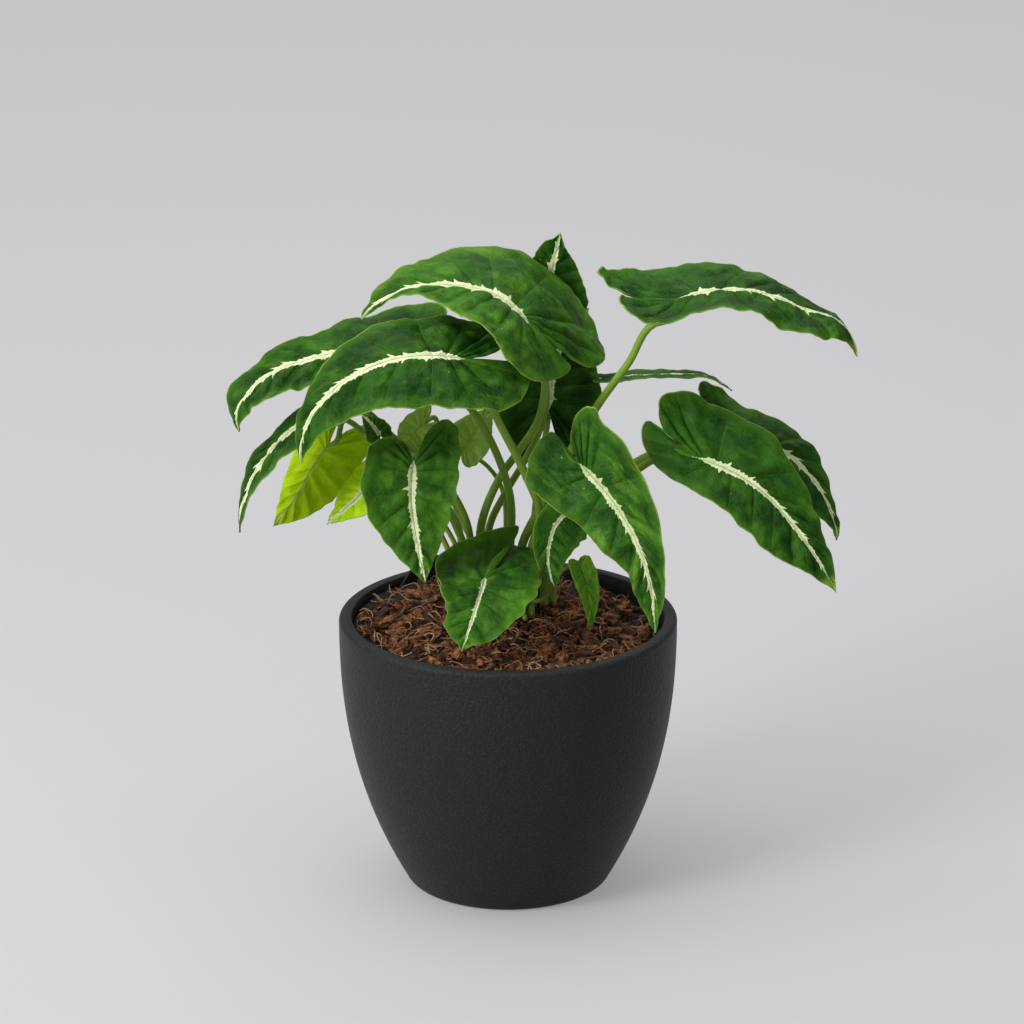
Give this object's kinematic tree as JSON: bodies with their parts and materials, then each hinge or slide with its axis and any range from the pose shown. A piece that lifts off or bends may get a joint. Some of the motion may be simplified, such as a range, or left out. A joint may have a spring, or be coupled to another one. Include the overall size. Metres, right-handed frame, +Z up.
{
  "type": "potted syngonium",
  "caption": "Arrowhead-leaved house plant with white midribs, on long stalks, growing in soil in a dark matte planter with rounded sides.",
  "frame": {"origin": "centre of the planter's flat base, on the surface it stands on", "axes": "+Z up, -Y the plant's front, +X to the right seen from the front"},
  "size_m": [0.2737, 0.15, 0.294],
  "materials": {
    "planter": "matte, fine leathery grain",
    "nursery_pot": "moulded, satin",
    "soil": "loose bark and coir fibre",
    "stem": "smooth, matte",
    "stalk": "smooth, waxy",
    "leaf": "velvety, with a white midrib",
    "leaf_bright": "thin, light shines through",
    "leaf_pale": "thin and young, light shines through"
  },
  "bodies": {
    "root": {"planter": "planter", "nursery_pot": "nursery_pot", "soil": "soil", "stem_left": "stem", "stem_back": "stem", "stem_right": "stem", "stem_front": "stem", "leaf_top_left": "leaf", "leaf_front_left": "leaf", "leaf_left": "leaf", "leaf_low_left": "leaf", "leaf_backlit_left": "leaf_bright", "leaf_small_left": "leaf_bright", "leaf_front_heart": "leaf", "leaf_front_low": "leaf", "leaf_front_right": "leaf", "leaf_right": "leaf", "leaf_right_back": "leaf", "leaf_top_right": "leaf", "leaf_top": "leaf", "leaf_edge_on": "leaf", "leaf_back": "leaf", "leaf_back_pale": "leaf_pale", "leaf_back_young": "leaf_pale", "leaf_curled": "leaf", "leaf_low_centre": "leaf", "leaf_low_right": "leaf", "leaf_top_left_stalk": "stalk", "leaf_front_left_stalk": "stalk", "leaf_left_stalk": "stalk", "leaf_low_left_stalk": "stalk", "leaf_backlit_left_stalk": "stalk", "leaf_small_left_stalk": "stalk", "leaf_front_heart_stalk": "stalk", "leaf_front_low_stalk": "stalk", "leaf_front_right_stalk": "stalk", "leaf_right_stalk": "stalk", "leaf_right_back_stalk": "stalk", "leaf_top_right_stalk": "stalk", "leaf_top_stalk": "stalk", "leaf_edge_on_stalk": "stalk", "leaf_back_stalk": "stalk", "leaf_back_pale_stalk": "stalk", "leaf_back_young_stalk": "stalk", "leaf_curled_stalk": "stalk", "leaf_low_centre_stalk": "stalk", "leaf_low_right_stalk": "stalk"}
  },
  "joints": []
}
